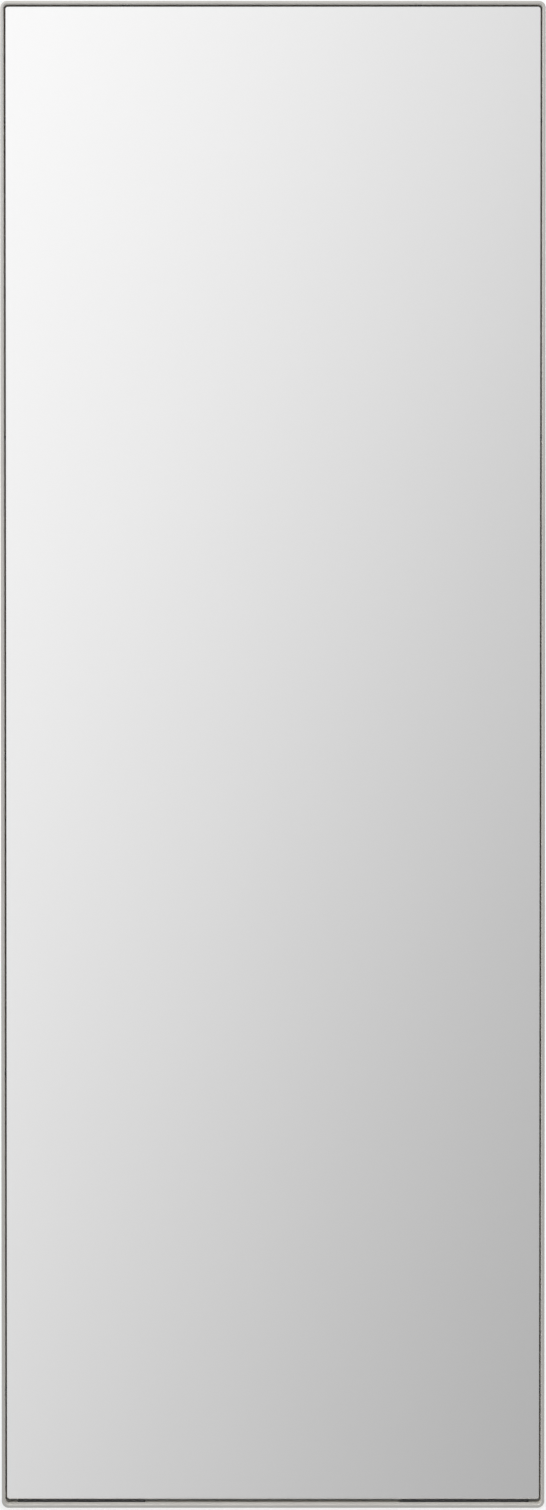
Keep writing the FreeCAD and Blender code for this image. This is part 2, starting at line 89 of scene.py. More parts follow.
class Wire:
    """An output of a node. Expressions on wires add Math nodes to the tree."""

    def __init__(self, socket):
        self.socket = socket

    def node(self, kind, settings, sockets, output=0):
        """Adds a node to the tree: its settings first, then the values or links of its sockets."""
        added = self.socket.id_data.nodes.new(kind)
        for name, value in settings.items():
            setattr(added, name, value)
        connect(added, sockets)
        return Wire(pick(added.outputs, output))

    def maths(self, operation, *others):
        """This wire, and any others, through a Math node."""
        return self.node("ShaderNodeMath", {"operation": operation}, dict(enumerate((self, *others))))

    def __add__(self, other):
        return self.maths("ADD", other)

    __radd__ = __add__

    def __sub__(self, other):
        return self.maths("SUBTRACT", other)

    def __rsub__(self, other):
        return self.node("ShaderNodeMath", {"operation": "SUBTRACT"}, {0: other, 1: self})

    def __mul__(self, other):
        return self.maths("MULTIPLY", other)

    __rmul__ = __mul__

    def __truediv__(self, other):
        return self.maths("DIVIDE", other)

    def step(self, low, high):
        """0 below the low value, 1 above the high one, and smooth between."""
        return self.node("ShaderNodeMapRange", {"interpolation_type": "SMOOTHSTEP"},
                         {"Value": self, "From Min": low, "From Max": high})

    def blend(self, low, high):
        """A colour between two others, by this wire."""
        return self.node("ShaderNodeMix", {"data_type": "RGBA"}, {0: self, "A_Color": low, "B_Color": high},
                         "Result_Color")

    def counted(self, size):
        """This coordinate counted in marks of a size, or of three sizes along its three axes."""
        sizes = size if isinstance(size, tuple) else (size, size, size)
        return self.node("ShaderNodeVectorMath", {"operation": "DIVIDE"}, {0: self, 1: sizes})

    def noise(self, size, detail=2.0):
        """Noise from 0 to 1 on this coordinate, in marks of a size, or of three sizes along its axes."""
        return self.node("ShaderNodeTexNoise", {},
                         {"Vector": self.counted(size), "Scale": 1.0, "Detail": detail})

    def axis(self, name):
        """One of the three numbers of this coordinate."""
        return self.node("ShaderNodeSeparateXYZ", {}, {"Vector": self}, name)

    def bump(self, distance):
        """A normal raised by this wire."""
        return self.node("ShaderNodeBump", {}, {"Height": self, "Distance": distance}, "Normal")


def pick(sockets, name):
    """A node's socket by its identifier, where several share a name, or else by its name or number."""
    return {socket.identifier: socket for socket in sockets}.get(name) or sockets[name]


def connect(node, sockets):
    """Gives a node's sockets their values or links."""
    for name, value in sockets.items():
        socket = pick(node.inputs, name)
        if isinstance(value, Wire):
            node.id_data.links.new(value.socket, socket)
        else:
            socket.default_value = value


def finish(name):
    """A new material: itself, its shader node and the piece's own coordinates."""
    material = bpy.data.materials.new(name)
    material.use_nodes = True
    shader = material.node_tree.nodes["Principled BSDF"]
    coordinates = material.node_tree.nodes.new("ShaderNodeTexCoord")
    return material, shader, Wire(coordinates.outputs["Object"])


SOCKET_KINDS = {int: "NodeSocketInt", float: "NodeSocketFloat", tuple: "NodeSocketVector",
                bpy.types.Object: "NodeSocketObject"}


def plan(name, **sizes):
    """A Geometry Nodes tree with a named input for each size: the tree and a wire from each input."""
    tree = bpy.data.node_groups.new(name, "GeometryNodeTree")
    tree.interface.new_socket("Geometry", in_out="OUTPUT", socket_type="NodeSocketGeometry")
    tree.interface.new_socket("Geometry", in_out="INPUT", socket_type="NodeSocketGeometry")
    for size, value in sizes.items():
        tree.interface.new_socket(size, in_out="INPUT", socket_type=SOCKET_KINDS[type(value)])
    inputs = tree.nodes.new("NodeGroupInput")
    return tree, {socket.name: Wire(socket) for socket in inputs.outputs if socket.name}


def end(tree, geometry, material):
    """Closes a tree: instances made real, and the finish set."""
    solid = geometry.node("GeometryNodeRealizeInstances", {}, {"Geometry": geometry})
    dressed = solid.node("GeometryNodeSetMaterial", {}, {"Geometry": solid, "Material": material})
    connect(tree.nodes.new("NodeGroupOutput"), {"Geometry": dressed})


def add(name, mesh):
    """A new object for a mesh that is already in place."""
    piece = bpy.data.objects.new(name, mesh)
    bpy.context.scene.collection.objects.link(piece)
    return piece


def settled(name, source):
    """A plain piece with the mesh that a source object's modifiers make. The source is removed."""
    depsgraph = bpy.context.evaluated_depsgraph_get()
    mesh = bpy.data.meshes.new_from_object(source.evaluated_get(depsgraph), preserve_all_data_layers=True,
                                           depsgraph=depsgraph)
    mesh.name = name
    for index in reversed(range(len(mesh.materials))):
        if mesh.materials[index] is None:
            mesh.materials.pop(index=index)
    bpy.data.objects.remove(source)
    return add(name, mesh)


def grow(name, tree, sizes, base=None):
    """A piece with the mesh that a tree makes from these sizes."""
    source = add(f"{name}_source", base or bpy.data.meshes.new(f"{name}_source"))
    modifier = source.modifiers.new("tree", "NODES")
    modifier.node_group = tree
    for socket in tree.interface.items_tree:
        if socket.name in sizes:
            modifier[socket.identifier] = sizes[socket.name]
    return settled(name, source)


def smooth(piece, sharp_degrees=40):
    """Shades a piece smooth between its sharp edges, with flat faces kept flat."""
    piece.data.shade_smooth()
    piece.data.set_sharp_from_angle(angle=math.radians(sharp_degrees))
    name = piece.name
    piece.name = f"{name}_source"
    piece.modifiers.new("flat_faces", "WEIGHTED_NORMAL").keep_sharp = True
    return settled(name, piece)


def brushed_nickel():
    """Nickel with long fine brush lines that follow the bar, worn front edges, and a duller inside face whose
    paler colour is painted light in the shaded recess.
    """
    material, shader, place = finish("brushed_nickel")
    along, across, depth = (place.node("ShaderNodeAttribute", {"attribute_name": name}, {}, "Fac")
                            for name in ("along", "across", "depth"))
    route = place.node("ShaderNodeCombineXYZ", {}, {"X": along, "Y": across, "Z": depth})
    lines = route.noise(BRUSH_LINE, 3.0)
    scuffs = route.noise(BRUSH_SCUFF).step(0.58, 0.74)
    clouds = route.noise(BRUSH_CLOUD)
    half_thickness, half_depth = BAR_THICKNESS / 2, (band_high.y - band_low.y) / 2
    # The inside face: rougher, and painted paler as painted light that stands in for light in the shaded
    # recess.
    inside_dull_and_painted_light = (0 - across).step(0.8 * half_thickness, half_thickness)
    near_edge = across.maths("ABSOLUTE").step(half_thickness - RIM_ROUND, half_thickness)
    worn = near_edge * (0 - depth).step(half_depth - RIM_ROUND, half_depth) * clouds
    tone = (lines * 0.65 + clouds * 0.7 - 0.2).blend(NICKEL_DEEP, NICKEL_PALE)
    connect(shader, {
        "Base Color": inside_dull_and_painted_light.blend(worn.blend(tone, NICKEL_WORN), NICKEL_INSIDE_PAINTED_LIGHT),
        "Metallic": 1.0,
        "Roughness": 0.50 + lines * 0.14 + scuffs * 0.05 + inside_dull_and_painted_light * 0.25 - worn * 0.15,
        "Normal": (lines + scuffs * 0.3).bump(BRUSH_DEPTH),
    })
    return material


BAND_SIZES = {
    "Width": band_high.x - band_low.x, "Height": band_high.z - band_low.z, "Depth": band_high.y - band_low.y,
    "Thickness": BAR_THICKNESS, "Bend": BAR_BEND, "Rim round": RIM_ROUND, "Rear round": REAR_ROUND,
    "Weld gap": WELD_GAP, "Corner steps": CORNER_STEPS, "Rim steps": RIM_STEPS,
    "Middle": (0.0, (band_low.y + band_high.y) / 2, 0.0),
}
band_plan, size = plan("bent_bar", **BAND_SIZES)
run_x = size["Width"] - size["Thickness"]
run_z = size["Height"] - size["Thickness"]
turn = size["Bend"] + size["Thickness"] * 0.5
sides = run_x.node("GeometryNodeCurvePrimitiveQuadrilateral", {}, {"Width": run_x, "Height": run_z})
bent = sides.node("GeometryNodeFilletCurve", {"mode": "POLY"},
                  {"Curve": sides, "Radius": turn, "Count": size["Corner steps"]})
# The loop starts after its last corner, so the weld lies three corners, two runs and half a run along it.
weld = turn * (1.5 * math.pi - 5.0) + run_x * 1.5 + run_z
cut = bent.node("GeometryNodeTrimCurve", {"mode": "LENGTH"},
                {"Curve": bent, "Start_001": weld, "End_001": weld - size["Weld gap"]})
length = cut.node("GeometryNodeSplineParameter", {}, {}, "Length")
path = cut.node("GeometryNodeStoreNamedAttribute", {}, {"Geometry": cut, "Name": "along", "Value": length})
section = path.node("GeometryNodeCurvePrimitiveQuadrilateral", {},
                    {"Width": size["Thickness"], "Height": size["Depth"]})
spot = section.node("GeometryNodeInputPosition", {}, {})
front = spot.axis("Y").maths("LESS_THAN", 0.0)
corner = size["Rear round"] + (size["Rim round"] - size["Rear round"]) * front
section = section.node("GeometryNodeFilletCurve", {"mode": "POLY"},
                       {"Curve": section, "Radius": corner, "Count": size["Rim steps"]})
for name, axis in (("across", "X"), ("depth", "Y")):
    section = section.node("GeometryNodeStoreNamedAttribute", {},
                           {"Geometry": section, "Name": name, "Value": spot.axis(axis)})
bar = path.node("GeometryNodeCurveToMesh", {}, {"Curve": path, "Profile Curve": section, "Fill Caps": True})
bar = bar.node("GeometryNodeTransform", {}, {"Geometry": bar, "Translation": size["Middle"],
                                             "Rotation": (math.radians(90), 0, 0)})
end(band_plan, bar, brushed_nickel())
band = smooth(grow("frame_band_brushed", band_plan, BAND_SIZES))
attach(band, "mirror")
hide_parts("frame_band")


# Angle tabs: twelve small pressed angles of sheet steel, plated with the frame. One leg of each lies on the
# bar, where short weld beads hold it, and the other lies on the backing board and takes a screw.
TAB_EDGE = 0.15 * MM
SAME_POINT = 0.001 * MM
SAME_PLANE = math.radians(0.5)
EASED_ABOVE = math.radians(50)
EASED_STEPS = 2
BEAD_RADIUS = 1.05 * MM
BEAD_LENGTH = 6.0 * MM
BEAD_OFFSET = 5.5 * MM
BEAD_INSET = 0.35 * MM
BEAD_BEHIND = 0.25 * MM
BEAD_RIPPLE = 0.9 * MM
BEAD_STEPS = 6.0
BEAD_SIDES = 14
BEAD_TAPER = 0.3
BEAD_GIRTH = 0.92
BEAD_WAVE = 0.06
BEAD_TIP = 0.05
TAB_PIT = 0.19 * MM
TAB_PIT_DEPTH = 0.01 * MM
TAB_CLOUD = 6.0 * MM
HEAT_REACH = (-5.5 * MM, -2.2 * MM)
HEAT_WAVER = 2.0 * MM
BEAD_SKIN = 1.1 * MM
BEAD_GRAIN = 0.25 * MM
BEAD_RELIEF = 0.03 * MM
TAB_PALE = (0.66, 0.65, 0.63, 1)
TAB_DEEP = (0.50, 0.49, 0.47, 1)
HEAT_TINT = (0.36, 0.26, 0.15, 1)
BEAD_PALE = (0.55, 0.52, 0.48, 1)
BEAD_DEEP = (0.20, 0.18, 0.17, 1)
TAB_NAMES = [f"tab_{side}_{number}" for side in ("left", "right") for number in (1, 2, 3, 4)]
TAB_NAMES += [f"tab_{end_name}_{side}" for end_name in ("top", "bottom") for side in ("left", "right")]


def made(name, shape):
    """A mesh of a finished shape, which is freed."""
    mesh = bpy.data.meshes.new(name)
    shape.to_mesh(mesh)
    shape.free()
    return mesh


def dress(piece, material):
    """Gives a piece one finish all over."""
    piece.data.materials.clear()
    piece.data.materials.append(material)


def eased(name, node, width):
    """A copy of a CAD piece with its sharp edges eased by a narrow bevel."""
    shape = bmesh.new()
    shape.from_mesh(frame["nodes"][node].data)
    bmesh.ops.remove_doubles(shape, verts=shape.verts, dist=SAME_POINT)
    bmesh.ops.dissolve_limit(shape, angle_limit=SAME_PLANE, verts=shape.verts, edges=shape.edges)
    source = add(f"{name}_source", made(name, shape))
    bevel = source.modifiers.new("eased_edges", "BEVEL")
    bevel.width = width
    bevel.segments = EASED_STEPS
    bevel.limit_method = "ANGLE"
    bevel.angle_limit = EASED_ABOVE
    return smooth(settled(name, source))


def plated_tab():
    """Nickel over pressed sheet: fine pitting, soft clouds and a heat tint beside the weld."""
    material, shader, place = finish("plated_tab")
    pits = place.noise(TAB_PIT, 3.0)
    clouds = place.noise(TAB_CLOUD)
    heat = (place.axis("Y") + clouds * HEAT_WAVER).step(*HEAT_REACH)
    tone = (clouds * 0.8 + pits * 0.4 - 0.1).blend(TAB_DEEP, TAB_PALE)
    connect(shader, {
        "Base Color": (heat * 0.75).blend(tone, HEAT_TINT),
        "Metallic": 1.0,
        "Roughness": 0.26 + pits * 0.16 + heat * 0.12,
        "Normal": pits.bump(TAB_PIT_DEPTH),
    })
    return material


def welded():
    """Weld metal under thin plating: dull, with a skin that changes along each bead."""
    material, shader, place = finish("weld_bead")
    skin = place.noise(BEAD_SKIN, 4.0)
    grain = place.noise(BEAD_GRAIN)
    connect(shader, {
        "Base Color": skin.step(0.35, 0.68).blend(BEAD_DEEP, BEAD_PALE),
        "Metallic": 1.0,
        "Roughness": 0.34 + grain * 0.22,
        "Normal": (skin * 0.6 + grain * 0.4).bump(BEAD_RELIEF),
    })
    return material


def lie(node):
    """A tab's middle at the rear of the bar, and the ways over the board and along the bar from there."""
    low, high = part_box(node)
    edge = (low + high) / 2
    edge.y = high.y
    on_side = node.startswith(("tab_left", "tab_right"))
    outward = Vector((math.copysign(1, edge.x), 0, 0) if on_side else (0, 0, math.copysign(1, edge.z)))
    edge += outward * (max(low @ outward, high @ outward) - edge @ outward)
    return edge, -outward, Vector((0, 0, 1) if on_side else (1, 0, 0))


tab_finish = plated_tab()
bead_runs = bmesh.new()
for node in TAB_NAMES:
    tab = eased(f"{node}_plated", node, TAB_EDGE)
    dress(tab, tab_finish)
    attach(tab, "mirror")
    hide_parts(node)
    edge, inward, along_bar = lie(node)
    for sign in (-1, 1):
        centre = edge + inward * BEAD_INSET + Vector((0, BEAD_BEHIND, 0)) + along_bar * (sign * BEAD_OFFSET)
        ends = [bead_runs.verts.new(centre + along_bar * (side * BEAD_LENGTH / 2)) for side in (-1, 1)]
        bead_runs.edges.new(ends)
BEAD_SIZES = {"Radius": BEAD_RADIUS, "Ripple": BEAD_RIPPLE, "Sides": BEAD_SIDES}
bead_plan, size = plan("weld_beads", **BEAD_SIZES)
line = size["Geometry"].node("GeometryNodeMeshToCurve", {}, {"Mesh": size["Geometry"]})
line = line.node("GeometryNodeResampleCurve", {"mode": "LENGTH"},
                 {"Curve": line, "Length": size["Ripple"] / BEAD_STEPS})
share = line.node("GeometryNodeSplineParameter", {}, {}, "Factor")
travel = line.node("GeometryNodeSplineParameter", {}, {}, "Length")
ripple = (travel * math.tau / size["Ripple"]).maths("SINE")
taper = (share * (1 - share) * 4.0).maths("POWER", BEAD_TAPER)
girth = taper * (BEAD_GIRTH + ripple * BEAD_WAVE) + BEAD_TIP
circle = line.node("GeometryNodeCurvePrimitiveCircle", {},
                   {"Resolution": size["Sides"], "Radius": size["Radius"]})
bead = line.node("GeometryNodeCurveToMesh", {}, {"Curve": line, "Profile Curve": circle, "Scale": girth,
                                                 "Fill Caps": True})
end(bead_plan, bead, welded())
bead_lines = made("bead_lines", bead_runs)
beads = smooth(grow("tab_weld_beads", bead_plan, BEAD_SIZES, bead_lines), sharp_degrees=60)
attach(beads, "mirror")


# Seam pads: small moulded rubber spacers that keep the pane off the bar at its sides and top, and two long
# setting blocks under it. They are pushed into the open seam and held by the squeeze.
PAD_LENGTH = 5.0 * MM
BLOCK_LENGTH = 132.0 * MM
PAD_CORNER = 0.3 * MM
PAD_STEPS = 4
SIDE_PAD_COUNT = 5
TOP_PAD_COUNT = 2
BLOCK_COUNT = 2
RUBBER_GRAIN = 0.26 * MM
RUBBER_RELIEF = 0.02 * MM
RUBBER_BLOOM = 4.2 * MM
RUBBER_PALE = (0.034, 0.034, 0.035, 1)
RUBBER_DEEP = (0.014, 0.014, 0.015, 1)


def moulded_rubber():
    """Matt black rubber with a fine moulded grain and a faint grey bloom."""
    material, shader, place = finish("moulded_rubber")
    grain = place.noise(RUBBER_GRAIN, 3.0)
    bloom = place.noise(RUBBER_BLOOM, 3.0)
    connect(shader, {
        "Base Color": (bloom * 0.8 + grain * 0.3).blend(RUBBER_DEEP, RUBBER_PALE),
        "Roughness": 0.62 + grain * 0.25,
        "Normal": grain.bump(RUBBER_RELIEF),
        "Specular IOR Level": 0.35,
    })
    return material


rubber = moulded_rubber()
PAD_SIZES = {"First": (0.0, 0.0, 0.0), "Last": (0.0, 0.0, 0.0), "Count": SIDE_PAD_COUNT, "Size x": 0.0,
             "Size y": 0.0, "Size z": 0.0, "Corner": PAD_CORNER, "Corner steps": PAD_STEPS}
pad_plan, size = plan("seam_pads", **PAD_SIZES)
face = size["Size x"].node("GeometryNodeCurvePrimitiveQuadrilateral", {},
                           {"Width": size["Size x"], "Height": size["Size z"]})
face = face.node("GeometryNodeFilletCurve", {"mode": "POLY"},
                 {"Curve": face, "Radius": size["Corner"], "Count": size["Corner steps"]})
near, far = (face.node("ShaderNodeCombineXYZ", {}, {"Y": size["Size y"] * half}) for half in (-0.5, 0.5))
through = face.node("GeometryNodeCurvePrimitiveLine", {}, {"Start": near, "End": far})
pad = face.node("GeometryNodeCurveToMesh", {}, {"Curve": through, "Profile Curve": face, "Fill Caps": True})
row = face.node("GeometryNodeMeshLine", {"mode": "END_POINTS"},
                {"Count": size["Count"], "Start Location": size["First"], "Offset": size["Last"]})
pads = row.node("GeometryNodeInstanceOnPoints", {}, {"Points": row, "Instance": pad})
end(pad_plan, pads, rubber)
for node, count, run in (("edge_spacers_left", SIDE_PAD_COUNT, Vector((0, 0, PAD_LENGTH))),
                         ("edge_spacers_right", SIDE_PAD_COUNT, Vector((0, 0, PAD_LENGTH))),
                         ("edge_spacers_top", TOP_PAD_COUNT, Vector((PAD_LENGTH, 0, 0))),
                         ("setting_blocks", BLOCK_COUNT, Vector((BLOCK_LENGTH, 0, 0)))):
    low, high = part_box(node)
    middle = (low + high) / 2
    across_seam = Vector(run[axis] or high[axis] - low[axis] for axis in range(3))
    first = Vector(low[axis] + run[axis] / 2 if run[axis] else middle[axis] for axis in range(3))
    last = Vector(high[axis] - run[axis] / 2 if run[axis] else middle[axis] for axis in range(3))
    sizes = dict(PAD_SIZES, First=tuple(first), Last=tuple(last), Count=count)
    sizes.update({f"Size {axis}": across_seam[number] for number, axis in enumerate("xyz")})
    pad_set = smooth(grow(f"{node}_rubber", pad_plan, sizes))
    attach(pad_set, "mirror")
    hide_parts(node)


# Mirror pane: 4 mm float glass, silvered on its rear face, with its cut edge ground and its front arris taken
# off. It stands on the setting blocks, and the film and foam tape behind it bond it to the backing board.
PANE_CORNER = 2.5 * MM
PANE_ARRIS = 0.2 * MM
PANE_CORNER_STEPS = 14
SILVER_CLEAR = 0.03 * MM
HAZE_WIPE = (71 * MM, 71 * MM, 240 * MM)
SILVER_CLOUD = 170 * MM
GROUND_GRIT = (0.17 * MM, 0.42 * MM, 0.17 * MM)
GROUND_RELIEF = 0.01 * MM
GLASS_TINT = (0.988, 0.988, 0.988, 1)
GLASS_IOR = 1.52
SILVER_PALE = (0.973, 0.972, 0.972, 1)
SILVER_DEEP = (0.960, 0.958, 0.959, 1)
# Painted shade: the ground edge is painted dark grey so that the seam round the pane stays dark.
GROUND_SHADE_PALE = (0.13, 0.14, 0.135, 1)
GROUND_SHADE_DEEP = (0.06, 0.068, 0.064, 1)
CLEAR_SLOT, GROUND_SLOT, SILVER_SLOT = range(3)
pane_low, pane_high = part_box("mirror_glass")


def rounded_outline(half_x, half_z, radius, steps):
    """Points round a rectangle with rounded corners, anticlockwise as seen from the front."""
    points = []
    for quarter, (sign_x, sign_z) in enumerate(((1, 1), (-1, 1), (-1, -1), (1, -1))):
        for index in range(steps + 1):
            angle = math.radians(90) * (quarter + index / steps)
            points.append((sign_x * (half_x - radius) + radius * math.cos(angle),
                           sign_z * (half_z - radius) + radius * math.sin(angle)))
    return points


def wall(shape, near, far):
    """Faces all the way round between two loops of as many points."""
    return [shape.faces.new((near[index - 1], far[index - 1], far[index], near[index]))
            for index in range(len(near))]


def clear_glass():
    """Polished float glass, with the faintest haze left by cleaning."""
    material, shader, place = finish("clear_glass")
    haze = place.noise(HAZE_WIPE, 4.0).step(0.45, 0.8)
    connect(shader, {
        "Base Color": GLASS_TINT,
        "Roughness": haze * 0.006,
        "IOR": GLASS_IOR,
        "Transmission Weight": 1.0,
    })
    return material


def silvering():
    """The silver coat behind the glass."""
    material, shader, place = finish("silvering")
    connect(shader, {
        "Base Color": place.noise(SILVER_CLOUD, 3.0).blend(SILVER_DEEP, SILVER_PALE),
        "Metallic": 1.0,
        "Roughness": 0.0,
    })
    return material


def ground_edge():
    """Ground glass: dull and faintly green, with fine grit marks, and painted dark grey as painted shade for
    the seam round the pane.
    """
    material, shader, place = finish("ground_edge")
    grit = place.noise(GROUND_GRIT)
    connect(shader, {
        "Base Color": grit.blend(GROUND_SHADE_DEEP, GROUND_SHADE_PALE),
        "Roughness": 0.45 + grit * 0.3,
        "Normal": grit.bump(GROUND_RELIEF),
    })
    return material


half_x, half_z = pane_high.x, (pane_high.z - pane_low.z) / 2
pane_middle = (pane_low.z + pane_high.z) / 2
pane_shape = bmesh.new()
loops = []
pane_levels = ((PANE_ARRIS, pane_low.y), (0.0, pane_low.y + PANE_ARRIS), (0.0, pane_high.y - SILVER_CLEAR))
for inset, level in pane_levels:
    outline = rounded_outline(half_x - inset, half_z - inset, PANE_CORNER - inset, PANE_CORNER_STEPS)
    loops.append([pane_shape.verts.new((x, level, pane_middle + z)) for x, z in outline])
pane_shape.faces.new(loops[0]).material_index = CLEAR_SLOT
for front_loop, rear_loop in zip(loops, loops[1:]):
    for edge_face in wall(pane_shape, front_loop, rear_loop):
        edge_face.material_index = GROUND_SLOT
pane_shape.faces.new(reversed(loops[-1])).material_index = SILVER_SLOT
pane_mesh = made("mirror_pane", pane_shape)
for material in (clear_glass(), ground_edge(), silvering()):
    pane_mesh.materials.append(material)
pane = smooth(add("mirror_pane", pane_mesh), sharp_degrees=25)
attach(pane, "mirror")
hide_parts("mirror_glass")


# Safety film and foam tape: a thin vinyl film pressed on the silvered side, and upright strips of white
# closed-cell tape that bond it to the board. Both lie hidden between the pane and the board.
FILM_WEAVE = 1.1 * MM
FILM_RELIEF = 0.02 * MM
FILM_MOTTLE = 17 * MM
FOAM_CELL = 0.7 * MM
FOAM_RELIEF = 0.08 * MM
FILM_PALE = (0.70, 0.71, 0.72, 1)
FILM_DEEP = (0.58, 0.59, 0.60, 1)
FOAM_PALE = (0.86, 0.86, 0.84, 1)
FOAM_DEEP = (0.66, 0.66, 0.63, 1)


def vinyl_film():
    """Grey vinyl with a fine embossed weave."""
    material, shader, place = finish("vinyl_film")
    weave = place.node("ShaderNodeTexChecker", {}, {"Vector": place.counted(FILM_WEAVE), "Scale": 1.0}, "Fac")
    mottle = place.noise(FILM_MOTTLE, 3.0)
    connect(shader, {
        "Base Color": mottle.blend(FILM_DEEP, FILM_PALE),
        "Roughness": 0.35 + mottle * 0.2,
        "Normal": weave.bump(FILM_RELIEF),
    })
    return material


def closed_cell_foam():
    """White foam with its skin broken into small cells."""
    material, shader, place = finish("closed_cell_foam")
    cells = place.node("ShaderNodeTexVoronoi", {}, {"Vector": place.counted(FOAM_CELL), "Scale": 1.0},
                       "Distance")
    connect(shader, {
        "Base Color": cells.step(0.1, 0.6).blend(FOAM_PALE, FOAM_DEEP),
        "Roughness": 0.8 + cells * 0.15,
        "Normal": (1 - cells).bump(FOAM_RELIEF),
    })
    return material


dress(frame["nodes"]["safety_film"], vinyl_film())
foam = closed_cell_foam()
for number in (1, 2, 3, 4):
    dress(frame["nodes"][f"foam_tape_{number}"], foam)


# Backing board: 9 mm fibreboard, rolled with matt black paint on its rear face, cut to the inside of the
# frame. Screws through the twelve tabs hold it, and the hangers and bumpers are screwed to it.
PAINT_STIPPLE = 2.4 * MM
BOARD_HAIR = (0.67 * MM, 0.67 * MM, 2.7 * MM)
BOARD_RUB = (110 * MM, 110 * MM, 620 * MM)
BOARD_RELIEF = 0.35 * MM
PAINT_EDGE = 0.6 * MM
BOARD_PALE = (0.046, 0.045, 0.044, 1)
BOARD_DEEP = (0.012, 0.012, 0.012, 1)
BOARD_FIBRE = (0.10, 0.075, 0.052, 1)
BARE_PALE = (0.70, 0.56, 0.42, 1)
BARE_DEEP = (0.55, 0.43, 0.31, 1)
board_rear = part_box("backing_board")[1].y


def rolled_black():
    """Fibreboard, bare but for the black paint rolled on its rear face: stipple, fibres and rub marks."""
    material, shader, place = finish("rolled_black")
    stipple = place.noise(PAINT_STIPPLE, 3.0)
    fibres = place.noise(BOARD_HAIR, 3.0).step(0.66, 0.78)
    rubs = place.noise(BOARD_RUB, 5.0).step(0.55, 0.75)
    tone = (stipple * 0.7 + rubs * 0.5 - 0.1).blend(BOARD_DEEP, BOARD_PALE)
    painted = (place.axis("Y") + stipple * PAINT_EDGE).step(board_rear - PAINT_EDGE, board_rear)
    bare = (stipple * 0.6 + fibres * 0.4).blend(BARE_DEEP, BARE_PALE)
    connect(shader, {
        "Base Color": painted.blend(bare, (fibres * 0.45).blend(tone, BOARD_FIBRE)),
        "Roughness": 0.62 - rubs * 0.14 + stipple * 0.12,
        "Normal": (stipple + fibres * 0.4).bump(BOARD_RELIEF),
        "Specular IOR Level": 0.4,
    })
    return material


dress(frame["nodes"]["backing_board"], rolled_black())


# Board screws: pan-head wood screws with a cross recess, bright zinc plated. Twelve go through the tabs,
# eight through the hanger straps and four through the bumpers, each driven to its own angle.
SHEET = 1.5 * MM
SCREW_LENGTH = 8.0 * MM
SCREW_TIP = 2.0 * MM
SCREW_RADIUS = 1.6 * MM
HEAD_RADIUS = 3.5 * MM
HEAD_HEIGHT = 2.0 * MM
HEAD_ROUND = 1.2 * MM
HEAD_UNDERSIDE = 0.2 * MM
ROUND_STEPS = 6
TURNED_STEPS = 40
CROSS_TOP = (2.0 * MM, 0.5 * MM)
CROSS_FLOOR = (1.0 * MM, 0.32 * MM)
CROSS_DEPTH = 1.1 * MM
TAB_SCREW_OFFSET = 9.5 * MM
SCREW_SEED = 7
ZINC_CLOUD = 4.8 * MM
ZINC_STRAW = 14 * MM
ZINC_MARK = (0.38 * MM, 0.38 * MM, 3.2 * MM)
ZINC_MARK_DEPTH = 0.004 * MM
ZINC_PALE = (0.72, 0.735, 0.75, 1)
ZINC_DEEP = (0.52, 0.53, 0.545, 1)
ZINC_WARM = (0.66, 0.62, 0.52, 1)


def bright_zinc():
    """Zinc plate: cool and bright, with soft cloudy tones, a little straw colour and fine handling marks."""
    material, shader, place = finish("bright_zinc")
    clouds = place.noise(ZINC_CLOUD, 4.0)
    straw = place.noise(ZINC_STRAW).step(0.52, 0.78)
    marks = place.noise(ZINC_MARK)
    tone = clouds.step(0.3, 0.7).blend(ZINC_DEEP, ZINC_PALE)
    connect(shader, {
        "Base Color": (straw * 0.3).blend(tone, ZINC_WARM),
        "Metallic": 1.0,
        "Roughness": 0.19 + clouds * 0.12 + marks * 0.08,
        "Normal": marks.bump(ZINC_MARK_DEPTH),
    })
    return material


def arc(centre, radius, first, last):
    """Points of a profile round an arc, in degrees from the outward direction."""
    angles = [math.radians(first + (last - first) * index / ROUND_STEPS) for index in range(ROUND_STEPS + 1)]
    return [(centre[0] + radius * math.cos(angle), centre[1] + radius * math.sin(angle)) for angle in angles]


def turned(profile, closed=False):
    """A shape turned round +Y from a profile of radius and height."""
    shape = bmesh.new()
    line = [shape.verts.new((radius, height, 0)) for radius, height in profile]
    runs = list(zip(line, line[1:]))
    if closed:
        runs.append((line[-1], line[0]))
    edges = [shape.edges.new(run) for run in runs]
    bmesh.ops.spin(shape, geom=line + edges, cent=(0, 0, 0), axis=(0, 1, 0), angle=math.tau,
                   steps=TURNED_STEPS)
    bmesh.ops.remove_doubles(shape, verts=shape.verts, dist=SAME_POINT)
    bmesh.ops.recalc_face_normals(shape, faces=shape.faces)
    return shape


def sink_cross(shape):
    """Closes the open top of a screw head, with the tapered cross that the driver fits sunk in it."""
    loops = []
    for (arm, half), height in ((CROSS_TOP, HEAD_HEIGHT), (CROSS_FLOOR, HEAD_HEIGHT - CROSS_DEPTH)):
        quarter = [(arm, -half), (arm, half), (half, half)]
        corners = [Matrix.Rotation(math.radians(90) * number, 2) @ Vector(corner_point)
                   for number in range(4) for corner_point in quarter]
        loops.append([shape.verts.new((x, height, z)) for x, z in corners])
    wall(shape, *loops)
    shape.faces.new(loops[1])
    open_edges = [edge for edge in shape.edges if edge.is_boundary]
    bmesh.ops.triangle_fill(shape, use_beauty=True, edges=open_edges, normal=(0, 1, 0))
    bmesh.ops.recalc_face_normals(shape, faces=shape.faces)


